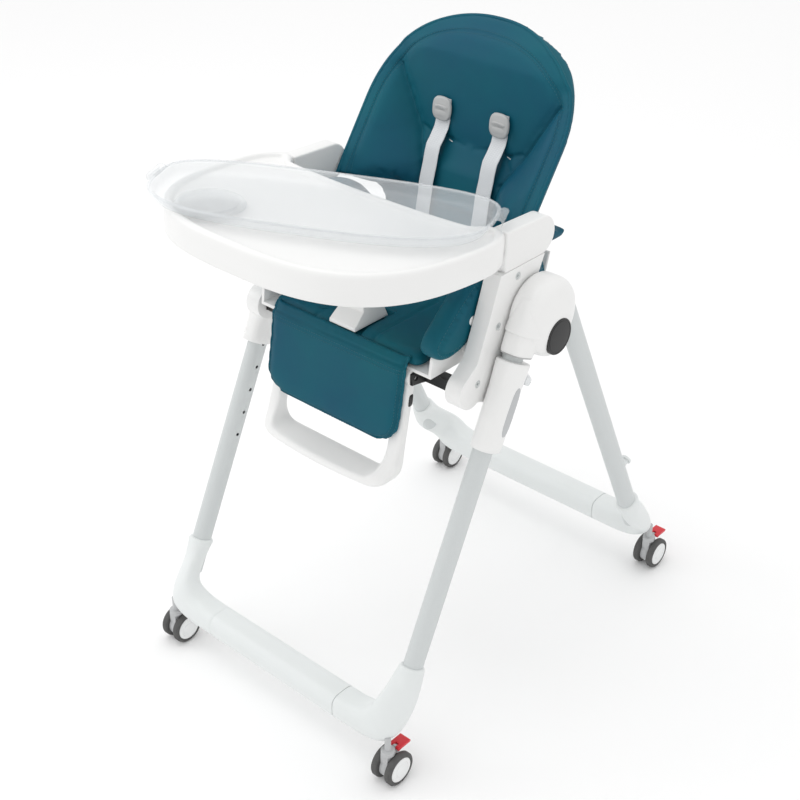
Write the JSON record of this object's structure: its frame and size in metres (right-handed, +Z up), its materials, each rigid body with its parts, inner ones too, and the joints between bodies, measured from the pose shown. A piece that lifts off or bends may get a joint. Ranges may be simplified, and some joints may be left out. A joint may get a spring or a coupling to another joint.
{
  "type": "baby high chair",
  "caption": "Folding baby high chair on braked castors: height-adjustable reclining padded seat, tilting leg rest, sliding tray with a lift-off clear dinner tray.",
  "frame": {"origin": "on the floor under the middle of the chair's bounding box", "axes": "+Z up, the child faces -Y, +X to the child's left"},
  "size_m": [0.544, 0.8008, 1.021],
  "materials": {
    "tube": "satin",
    "base_plastic": "smooth",
    "white_plastic": "gloss",
    "black_plastic": "satin",
    "steel": "satin",
    "black_steel": "satin",
    "grip": "matt",
    "upholstery": "soft sheen, fine grain",
    "webbing": "woven",
    "grey_plastic": "satin",
    "clear_plastic": "frosted, translucent",
    "tyre": "matt",
    "castor_grey": "satin",
    "red_plastic": "gloss"
  },
  "bodies": {
    "front_frame": {"front_leg_left": "tube", "front_leg_right": "tube", "front_foot_left": "base_plastic", "front_foot_right": "base_plastic", "front_base_bar": "base_plastic", "hub_left": "white_plastic", "hub_right": "white_plastic", "pivot_bolts": "steel"},
    "rear_frame": {"rear_leg_left": "tube", "rear_leg_right": "tube", "rear_knuckle_left": "white_plastic", "rear_knuckle_right": "white_plastic", "rear_foot_left": "base_plastic", "rear_foot_right": "base_plastic", "rear_base_bar": "base_plastic", "tray_hooks": "base_plastic"},
    "carriage": {"slider_left": "white_plastic", "slider_right": "white_plastic", "slider_grips": "grip", "side_frame_left": "white_plastic", "side_frame_right": "white_plastic", "armrest_left": "white_plastic", "armrest_right": "white_plastic", "cross_tube": "black_steel", "side_screws": "steel", "seat_shell": "white_plastic", "seat_cushion": "upholstery", "crotch_post": "white_plastic", "lap_belt": "webbing", "harness_buckle": "grey_plastic"},
    "backrest": {"back_shell": "white_plastic", "back_cushion": "upholstery", "shoulder_straps": "webbing", "strap_adjusters": "grey_plastic"},
    "recline_handle": {"recline_lever": "white_plastic"},
    "leg_rest": {"leg_rest_frame": "white_plastic", "footboard": "white_plastic", "calf_pad": "upholstery"},
    "leg_rest_catch": {"leg_rest_latch": "grey_plastic"},
    "tray": {"tray_body": "white_plastic"},
    "tray_catch": {"tray_latch": "grey_plastic"},
    "insert": {"dinner_tray": "clear_plastic"},
    "fold_release_left": {"fold_button_left": "black_plastic"},
    "height_release_left": {"height_lever_left": "clear_plastic"},
    "fold_release_right": {"fold_button_right": "black_plastic"},
    "height_release_right": {"height_lever_right": "clear_plastic"},
    "castor_front_left": {"castor_body_front_left": "castor_grey"},
    "wheels_front_left": {"castor_wheels_front_left": "tyre"},
    "brake_front_left": {"brake_pedal_front_left": "red_plastic"},
    "castor_front_right": {"castor_body_front_right": "castor_grey"},
    "wheels_front_right": {"castor_wheels_front_right": "tyre"},
    "brake_front_right": {"brake_pedal_front_right": "red_plastic"},
    "castor_rear_left": {"castor_body_rear_left": "castor_grey"},
    "wheels_rear_left": {"castor_wheels_rear_left": "tyre"},
    "brake_rear_left": {"brake_pedal_rear_left": "red_plastic"},
    "castor_rear_right": {"castor_body_rear_right": "castor_grey"},
    "wheels_rear_right": {"castor_wheels_rear_right": "tyre"},
    "brake_rear_right": {"brake_pedal_rear_right": "red_plastic"}
  },
  "joints": [
    {"name": "frame_fold", "type": "hinge", "parent": "front_frame", "child": "rear_frame", "pos_m": [0, -0.0111, 0.65], "axis": [-1, 0, 0], "range_deg": [0, 48]},
    {"name": "seat_height", "type": "slide", "parent": "front_frame", "child": "carriage", "axis": [0, 0.434, 0.9009], "range_m": [-0.24, 0]},
    {"name": "back_recline", "type": "hinge", "parent": "carriage", "child": "backrest", "pos_m": [0, 0.0729, 0.636], "axis": [-1, 0, 0], "range_deg": [0, 45]},
    {"name": "recline_squeeze", "type": "slide", "parent": "backrest", "child": "recline_handle", "axis": [0, 0.2689, 0.9632], "range_m": [0, 0.008], "stiffness_N_per_m": 600},
    {"name": "leg_rest_tilt", "type": "hinge", "parent": "carriage", "child": "leg_rest", "pos_m": [0, -0.1811, 0.604], "axis": [-1, 0, 0], "range_deg": [0, 65]},
    {"name": "leg_rest_release", "type": "slide", "parent": "leg_rest", "child": "leg_rest_catch", "axis": [0, 0, 1], "range_m": [0, 0.005], "stiffness_N_per_m": 400},
    {"name": "tray_slide", "type": "slide", "parent": "carriage", "child": "tray", "axis": [0, -0.9976, 0.0698], "range_m": [0, 0.08]},
    {"name": "tray_release", "type": "slide", "parent": "tray", "child": "tray_catch", "axis": [0, 0.9976, -0.0698], "range_m": [0, 0.006], "stiffness_N_per_m": 400},
    {"name": "insert_lift", "type": "slide", "parent": "tray", "child": "insert", "axis": [0, 0.0698, 0.9976], "range_m": [0, 0.06]},
    {"name": "fold_press_left", "type": "slide", "parent": "front_frame", "child": "fold_release_left", "axis": [-1, 0, 0], "range_m": [0, 0.004], "stiffness_N_per_m": 800},
    {"name": "height_squeeze_left", "type": "hinge", "parent": "carriage", "child": "height_release_left", "pos_m": [0.24, -0.06715, 0.61328], "axis": [1, 0, 0], "range_deg": [0, 12], "stiffness_Nm_per_rad": 0.5},
    {"name": "fold_press_right", "type": "slide", "parent": "front_frame", "child": "fold_release_right", "axis": [1, 0, 0], "range_m": [0, 0.004], "stiffness_N_per_m": 800},
    {"name": "height_squeeze_right", "type": "hinge", "parent": "carriage", "child": "height_release_right", "pos_m": [-0.24, -0.06715, 0.61328], "axis": [1, 0, 0], "range_deg": [0, 12], "stiffness_Nm_per_rad": 0.5},
    {"name": "swivel_front_left", "type": "hinge", "parent": "front_frame", "child": "castor_front_left", "pos_m": [0.247, -0.3611, 0.08], "axis": [0, 0, 1], "continuous": true},
    {"name": "roll_front_left", "type": "hinge", "parent": "castor_front_left", "child": "wheels_front_left", "pos_m": [0.247, -0.3521, 0.0285], "axis": [1, 0, 0], "continuous": true},
    {"name": "brake_front_left", "type": "hinge", "parent": "castor_front_left", "child": "brake_front_left", "pos_m": [0.247, -0.3451, 0.061], "axis": [-1, 0, 0], "range_deg": [0, 9]},
    {"name": "swivel_front_right", "type": "hinge", "parent": "front_frame", "child": "castor_front_right", "pos_m": [-0.247, -0.3611, 0.08], "axis": [0, 0, 1], "continuous": true},
    {"name": "roll_front_right", "type": "hinge", "parent": "castor_front_right", "child": "wheels_front_right", "pos_m": [-0.247, -0.3521, 0.0285], "axis": [1, 0, 0], "continuous": true},
    {"name": "brake_front_right", "type": "hinge", "parent": "castor_front_right", "child": "brake_front_right", "pos_m": [-0.247, -0.3451, 0.061], "axis": [-1, 0, 0], "range_deg": [0, 9]},
    {"name": "swivel_rear_left", "type": "hinge", "parent": "rear_frame", "child": "castor_rear_left", "pos_m": [0.247, 0.3589, 0.08], "axis": [0, 0, 1], "continuous": true},
    {"name": "roll_rear_left", "type": "hinge", "parent": "castor_rear_left", "child": "wheels_rear_left", "pos_m": [0.247, 0.3679, 0.0285], "axis": [1, 0, 0], "continuous": true},
    {"name": "brake_rear_left", "type": "hinge", "parent": "castor_rear_left", "child": "brake_rear_left", "pos_m": [0.247, 0.3749, 0.061], "axis": [-1, 0, 0], "range_deg": [0, 9]},
    {"name": "swivel_rear_right", "type": "hinge", "parent": "rear_frame", "child": "castor_rear_right", "pos_m": [-0.247, 0.3589, 0.08], "axis": [0, 0, 1], "continuous": true},
    {"name": "roll_rear_right", "type": "hinge", "parent": "castor_rear_right", "child": "wheels_rear_right", "pos_m": [-0.247, 0.3679, 0.0285], "axis": [1, 0, 0], "continuous": true},
    {"name": "brake_rear_right", "type": "hinge", "parent": "castor_rear_right", "child": "brake_rear_right", "pos_m": [-0.247, 0.3749, 0.061], "axis": [-1, 0, 0], "range_deg": [0, 9]}
  ]
}
